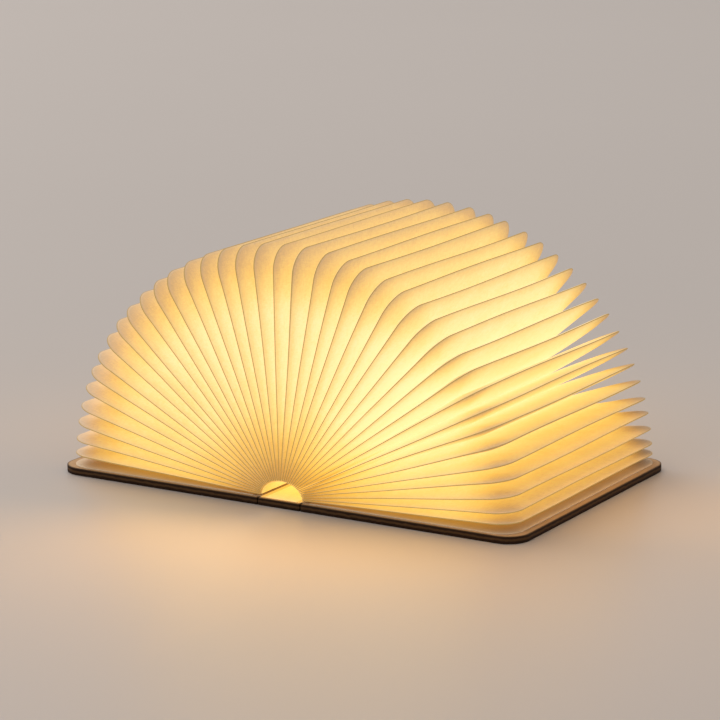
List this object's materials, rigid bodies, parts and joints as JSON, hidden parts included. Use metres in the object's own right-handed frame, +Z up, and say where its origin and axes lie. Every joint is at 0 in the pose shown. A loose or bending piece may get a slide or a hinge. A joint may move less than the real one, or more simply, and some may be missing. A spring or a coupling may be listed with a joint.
{
  "type": "folding book lamp",
  "caption": "Book-shaped lamp opened flat: wooden covers hinged to a spine, a half-round fan of paper pages that folds with them, and a slim light module in the spine.",
  "frame": {"origin": "middle of the spine board's underside, on the surface the open lamp lies on", "axes": "+X from the spine to the right cover's free edge, +Y along the spine to the charging end, +Z up"},
  "size_m": [0.1988, 0.125, 0.0969],
  "materials": {
    "board_wood": "walnut veneer board with dark laser-cut edges",
    "end_paper": "matt fibrous paper",
    "page_paper": "matt translucent fibrous paper",
    "pleat_paper": "matt translucent fibrous paper",
    "binding_paper": "matt translucent paper strip",
    "hinge_cloth": "fine woven book cloth",
    "magnet_nickel": "nickel plated",
    "tray_plastic": "moulded, fine matt",
    "cell_foil": "satin foil pouch",
    "lead_insulation": "satin insulation",
    "circuit_board": "white solder mask",
    "diode_resin": "phosphor resin",
    "sensor_resin": "moulded black resin",
    "socket_steel": "stamped and plated",
    "diffuser_plastic": "frosted translucent"
  },
  "bodies": {
    "spine": {"spine_board": "board_wood", "right_hinge_tape": "hinge_cloth", "left_hinge_tape": "hinge_cloth", "right_pleats": "pleat_paper", "left_pleats": "pleat_paper", "module_tray": "tray_plastic", "battery_cell": "cell_foil", "battery_leads": "lead_insulation", "light_board": "circuit_board", "light_diodes": "diode_resin", "opening_sensor": "sensor_resin", "charge_socket": "socket_steel", "diffuser_cover": "diffuser_plastic"},
    "right_cover": {"right_cover_board": "board_wood", "right_end_sheet": "end_paper", "right_magnets": "magnet_nickel"},
    "left_cover": {"left_cover_board": "board_wood", "left_end_sheet": "end_paper", "left_magnets": "magnet_nickel"},
    "right_binding": {"right_binding": "binding_paper"},
    "left_binding": {"left_binding": "binding_paper"},
    "right_page_01": {"right_page_01": "page_paper"},
    "right_page_02": {"right_page_02": "page_paper"},
    "right_page_03": {"right_page_03": "page_paper"},
    "right_page_04": {"right_page_04": "page_paper"},
    "right_page_05": {"right_page_05": "page_paper"},
    "right_page_06": {"right_page_06": "page_paper"},
    "right_page_07": {"right_page_07": "page_paper"},
    "right_page_08": {"right_page_08": "page_paper"},
    "right_page_09": {"right_page_09": "page_paper"},
    "right_page_10": {"right_page_10": "page_paper"},
    "right_page_11": {"right_page_11": "page_paper"},
    "right_page_12": {"right_page_12": "page_paper"},
    "right_page_13": {"right_page_13": "page_paper"},
    "right_page_14": {"right_page_14": "page_paper"},
    "right_page_15": {"right_page_15": "page_paper"},
    "right_page_16": {"right_page_16": "page_paper"},
    "right_page_17": {"right_page_17": "page_paper"},
    "right_page_18": {"right_page_18": "page_paper"},
    "right_page_19": {"right_page_19": "page_paper"},
    "right_page_20": {"right_page_20": "page_paper"},
    "left_page_01": {"left_page_01": "page_paper"},
    "left_page_02": {"left_page_02": "page_paper"},
    "left_page_03": {"left_page_03": "page_paper"},
    "left_page_04": {"left_page_04": "page_paper"},
    "left_page_05": {"left_page_05": "page_paper"},
    "left_page_06": {"left_page_06": "page_paper"},
    "left_page_07": {"left_page_07": "page_paper"},
    "left_page_08": {"left_page_08": "page_paper"},
    "left_page_09": {"left_page_09": "page_paper"},
    "left_page_10": {"left_page_10": "page_paper"},
    "left_page_11": {"left_page_11": "page_paper"},
    "left_page_12": {"left_page_12": "page_paper"},
    "left_page_13": {"left_page_13": "page_paper"},
    "left_page_14": {"left_page_14": "page_paper"},
    "left_page_15": {"left_page_15": "page_paper"},
    "left_page_16": {"left_page_16": "page_paper"},
    "left_page_17": {"left_page_17": "page_paper"},
    "left_page_18": {"left_page_18": "page_paper"},
    "left_page_19": {"left_page_19": "page_paper"}
  },
  "joints": [
    {"name": "right_cover_fold", "type": "hinge", "parent": "spine", "child": "right_cover", "pos_m": [0.0092, 0, 0.0028], "axis": [0, -1, 0], "range_deg": [0, 90], "deforming": ["right_hinge_tape", "right_pleats", "right_binding"]},
    {"name": "left_cover_fold", "type": "hinge", "parent": "spine", "child": "left_cover", "pos_m": [-0.0092, 0, 0.0028], "axis": [0, 1, 0], "range_deg": [0, 90], "deforming": ["left_hinge_tape", "left_pleats", "left_binding"]},
    {"name": "right_binding_drop", "type": "slide", "parent": "spine", "child": "right_binding", "axis": [0, 0, -1], "range_m": [0, 0.004]},
    {"name": "left_binding_drop", "type": "slide", "parent": "spine", "child": "left_binding", "axis": [0, 0, -1], "range_m": [0, 0.004]},
    {"name": "right_page_01_turn", "type": "hinge", "parent": "right_binding", "child": "right_page_01", "pos_m": [0.00572, 0, 0.00653], "axis": [0, -1, 0], "range_deg": [0, 88.21]},
    {"name": "right_page_02_turn", "type": "hinge", "parent": "right_binding", "child": "right_page_02", "pos_m": [0.00559, 0, 0.00658], "axis": [0, -1, 0], "range_deg": [0, 85.63]},
    {"name": "right_page_03_turn", "type": "hinge", "parent": "right_binding", "child": "right_page_03", "pos_m": [0.00541, 0, 0.00663], "axis": [0, -1, 0], "range_deg": [0, 82.36]},
    {"name": "right_page_04_turn", "type": "hinge", "parent": "right_binding", "child": "right_page_04", "pos_m": [0.00521, 0, 0.00667], "axis": [0, -1, 0], "range_deg": [0, 78.76]},
    {"name": "right_page_05_turn", "type": "hinge", "parent": "right_binding", "child": "right_page_05", "pos_m": [0.00498, 0, 0.00672], "axis": [0, -1, 0], "range_deg": [0, 74.95]},
    {"name": "right_page_06_turn", "type": "hinge", "parent": "right_binding", "child": "right_page_06", "pos_m": [0.00473, 0, 0.00676], "axis": [0, -1, 0], "range_deg": [0, 70.95]},
    {"name": "right_page_07_turn", "type": "hinge", "parent": "right_binding", "child": "right_page_07", "pos_m": [0.00447, 0, 0.00681], "axis": [0, -1, 0], "range_deg": [0, 66.81]},
    {"name": "right_page_08_turn", "type": "hinge", "parent": "right_binding", "child": "right_page_08", "pos_m": [0.00419, 0, 0.00686], "axis": [0, -1, 0], "range_deg": [0, 62.54]},
    {"name": "right_page_09_turn", "type": "hinge", "parent": "right_binding", "child": "right_page_09", "pos_m": [0.00391, 0, 0.0069], "axis": [0, -1, 0], "range_deg": [0, 58.16]},
    {"name": "right_page_10_turn", "type": "hinge", "parent": "right_binding", "child": "right_page_10", "pos_m": [0.00361, 0, 0.00695], "axis": [0, -1, 0], "range_deg": [0, 53.68]},
    {"name": "right_page_11_turn", "type": "hinge", "parent": "right_binding", "child": "right_page_11", "pos_m": [0.00329, 0, 0.007], "axis": [0, -1, 0], "range_deg": [0, 49.1]},
    {"name": "right_page_12_turn", "type": "hinge", "parent": "right_binding", "child": "right_page_12", "pos_m": [0.00297, 0, 0.00706], "axis": [0, -1, 0], "range_deg": [0, 44.45]},
    {"name": "right_page_13_turn", "type": "hinge", "parent": "right_binding", "child": "right_page_13", "pos_m": [0.00264, 0, 0.00712], "axis": [0, -1, 0], "range_deg": [0, 39.72]},
    {"name": "right_page_14_turn", "type": "hinge", "parent": "right_binding", "child": "right_page_14", "pos_m": [0.00231, 0, 0.0072], "axis": [0, -1, 0], "range_deg": [0, 34.91]},
    {"name": "right_page_15_turn", "type": "hinge", "parent": "right_binding", "child": "right_page_15", "pos_m": [0.00196, 0, 0.00729], "axis": [0, -1, 0], "range_deg": [0, 30.04]},
    {"name": "right_page_16_turn", "type": "hinge", "parent": "right_binding", "child": "right_page_16", "pos_m": [0.00161, 0, 0.00741], "axis": [0, -1, 0], "range_deg": [0, 25.11]},
    {"name": "right_page_17_turn", "type": "hinge", "parent": "right_binding", "child": "right_page_17", "pos_m": [0.00124, 0, 0.00758], "axis": [0, -1, 0], "range_deg": [0, 20.12]},
    {"name": "right_page_18_turn", "type": "hinge", "parent": "right_binding", "child": "right_page_18", "pos_m": [0.00087, 0, 0.00785], "axis": [0, -1, 0], "range_deg": [0, 15.07]},
    {"name": "right_page_19_turn", "type": "hinge", "parent": "right_binding", "child": "right_page_19", "pos_m": [0.00047, 0, 0.00837], "axis": [0, -1, 0], "range_deg": [0, 9.96]},
    {"name": "right_page_20_turn", "type": "hinge", "parent": "right_binding", "child": "right_page_20", "pos_m": [0, 0, 0.01], "axis": [0, -1, 0], "range_deg": [0, 4.81]},
    {"name": "left_page_01_turn", "type": "hinge", "parent": "left_binding", "child": "left_page_01", "pos_m": [-0.00569, 0, 0.00653], "axis": [0, 1, 0], "range_deg": [0, 87.61]},
    {"name": "left_page_02_turn", "type": "hinge", "parent": "left_binding", "child": "left_page_02", "pos_m": [-0.0055, 0, 0.00656], "axis": [0, 1, 0], "range_deg": [0, 84.03]},
    {"name": "left_page_03_turn", "type": "hinge", "parent": "left_binding", "child": "left_page_03", "pos_m": [-0.00528, 0, 0.00659], "axis": [0, 1, 0], "range_deg": [0, 79.94]},
    {"name": "left_page_04_turn", "type": "hinge", "parent": "left_binding", "child": "left_page_04", "pos_m": [-0.00504, 0, 0.00662], "axis": [0, 1, 0], "range_deg": [0, 75.63]},
    {"name": "left_page_05_turn", "type": "hinge", "parent": "left_binding", "child": "left_page_05", "pos_m": [-0.00478, 0, 0.00663], "axis": [0, 1, 0], "range_deg": [0, 71.17]},
    {"name": "left_page_06_turn", "type": "hinge", "parent": "left_binding", "child": "left_page_06", "pos_m": [-0.00451, 0, 0.00665], "axis": [0, 1, 0], "range_deg": [0, 66.59]},
    {"name": "left_page_07_turn", "type": "hinge", "parent": "left_binding", "child": "left_page_07", "pos_m": [-0.00423, 0, 0.00665], "axis": [0, 1, 0], "range_deg": [0, 61.93]},
    {"name": "left_page_08_turn", "type": "hinge", "parent": "left_binding", "child": "left_page_08", "pos_m": [-0.00393, 0, 0.00666], "axis": [0, 1, 0], "range_deg": [0, 57.18]},
    {"name": "left_page_09_turn", "type": "hinge", "parent": "left_binding", "child": "left_page_09", "pos_m": [-0.00363, 0, 0.00665], "axis": [0, 1, 0], "range_deg": [0, 52.37]},
    {"name": "left_page_10_turn", "type": "hinge", "parent": "left_binding", "child": "left_page_10", "pos_m": [-0.00331, 0, 0.00664], "axis": [0, 1, 0], "range_deg": [0, 47.49]},
    {"name": "left_page_11_turn", "type": "hinge", "parent": "left_binding", "child": "left_page_11", "pos_m": [-0.00299, 0, 0.00663], "axis": [0, 1, 0], "range_deg": [0, 42.56]},
    {"name": "left_page_12_turn", "type": "hinge", "parent": "left_binding", "child": "left_page_12", "pos_m": [-0.00266, 0, 0.0066], "axis": [0, 1, 0], "range_deg": [0, 37.58]},
    {"name": "left_page_13_turn", "type": "hinge", "parent": "left_binding", "child": "left_page_13", "pos_m": [-0.00232, 0, 0.00656], "axis": [0, 1, 0], "range_deg": [0, 32.55]},
    {"name": "left_page_14_turn", "type": "hinge", "parent": "left_binding", "child": "left_page_14", "pos_m": [-0.00197, 0, 0.0065], "axis": [0, 1, 0], "range_deg": [0, 27.49]},
    {"name": "left_page_15_turn", "type": "hinge", "parent": "left_binding", "child": "left_page_15", "pos_m": [-0.00162, 0, 0.00642], "axis": [0, 1, 0], "range_deg": [0, 22.38]},
    {"name": "left_page_16_turn", "type": "hinge", "parent": "left_binding", "child": "left_page_16", "pos_m": [-0.00126, 0, 0.00627], "axis": [0, 1, 0], "range_deg": [0, 17.24]},
    {"name": "left_page_17_turn", "type": "hinge", "parent": "left_binding", "child": "left_page_17", "pos_m": [-0.00088, 0, 0.006], "axis": [0, 1, 0], "range_deg": [0, 12.06]},
    {"name": "left_page_18_turn", "type": "hinge", "parent": "left_binding", "child": "left_page_18", "pos_m": [-0.00049, 0, 0.00529], "axis": [0, 1, 0], "range_deg": [0, 6.85]},
    {"name": "left_page_19_turn", "type": "hinge", "parent": "left_binding", "child": "left_page_19", "pos_m": [0.00015, 0, -0.00008], "axis": [0, 1, 0], "range_deg": [0, 1.61]}
  ],
  "couplings": [
    {"joint": "right_binding_drop", "follows": "right_cover_fold", "m_per_rad": 0.0025465},
    {"joint": "left_binding_drop", "follows": "left_cover_fold", "m_per_rad": 0.0025465},
    {"joint": "right_page_01_turn", "follows": "right_cover_fold", "ratio": 0.98},
    {"joint": "right_page_02_turn", "follows": "right_cover_fold", "ratio": 0.95129},
    {"joint": "right_page_03_turn", "follows": "right_cover_fold", "ratio": 0.91496},
    {"joint": "right_page_04_turn", "follows": "right_cover_fold", "ratio": 0.87505},
    {"joint": "right_page_05_turn", "follows": "right_cover_fold", "ratio": 0.83262},
    {"joint": "right_page_06_turn", "follows": "right_cover_fold", "ratio": 0.78823},
    {"joint": "right_page_07_turn", "follows": "right_cover_fold", "ratio": 0.7422},
    {"joint": "right_page_08_turn", "follows": "right_cover_fold", "ratio": 0.69476},
    {"joint": "right_page_09_turn", "follows": "right_cover_fold", "ratio": 0.64608},
    {"joint": "right_page_10_turn", "follows": "right_cover_fold", "ratio": 0.59629},
    {"joint": "right_page_11_turn", "follows": "right_cover_fold", "ratio": 0.5455},
    {"joint": "right_page_12_turn", "follows": "right_cover_fold", "ratio": 0.49377},
    {"joint": "right_page_13_turn", "follows": "right_cover_fold", "ratio": 0.4412},
    {"joint": "right_page_14_turn", "follows": "right_cover_fold", "ratio": 0.38783},
    {"joint": "right_page_15_turn", "follows": "right_cover_fold", "ratio": 0.33371},
    {"joint": "right_page_16_turn", "follows": "right_cover_fold", "ratio": 0.2789},
    {"joint": "right_page_17_turn", "follows": "right_cover_fold", "ratio": 0.22342},
    {"joint": "right_page_18_turn", "follows": "right_cover_fold", "ratio": 0.16731},
    {"joint": "right_page_19_turn", "follows": "right_cover_fold", "ratio": 0.11061},
    {"joint": "right_page_20_turn", "follows": "right_cover_fold", "ratio": 0.053333},
    {"joint": "left_page_01_turn", "follows": "left_cover_fold", "ratio": 0.97333},
    {"joint": "left_page_02_turn", "follows": "left_cover_fold", "ratio": 0.93357},
    {"joint": "left_page_03_turn", "follows": "left_cover_fold", "ratio": 0.8881},
    {"joint": "left_page_04_turn", "follows": "left_cover_fold", "ratio": 0.8402},
    {"joint": "left_page_05_turn", "follows": "left_cover_fold", "ratio": 0.79064},
    {"joint": "left_page_06_turn", "follows": "left_cover_fold", "ratio": 0.73981},
    {"joint": "left_page_07_turn", "follows": "left_cover_fold", "ratio": 0.68795},
    {"joint": "left_page_08_turn", "follows": "left_cover_fold", "ratio": 0.63522},
    {"joint": "left_page_09_turn", "follows": "left_cover_fold", "ratio": 0.58172},
    {"joint": "left_page_10_turn", "follows": "left_cover_fold", "ratio": 0.52755},
    {"joint": "left_page_11_turn", "follows": "left_cover_fold", "ratio": 0.47277},
    {"joint": "left_page_12_turn", "follows": "left_cover_fold", "ratio": 0.41744},
    {"joint": "left_page_13_turn", "follows": "left_cover_fold", "ratio": 0.36161},
    {"joint": "left_page_14_turn", "follows": "left_cover_fold", "ratio": 0.30531},
    {"joint": "left_page_15_turn", "follows": "left_cover_fold", "ratio": 0.24857},
    {"joint": "left_page_16_turn", "follows": "left_cover_fold", "ratio": 0.19142},
    {"joint": "left_page_17_turn", "follows": "left_cover_fold", "ratio": 0.1339},
    {"joint": "left_page_18_turn", "follows": "left_cover_fold", "ratio": 0.076008},
    {"joint": "left_page_19_turn", "follows": "left_cover_fold", "ratio": 0.017778}
  ]
}
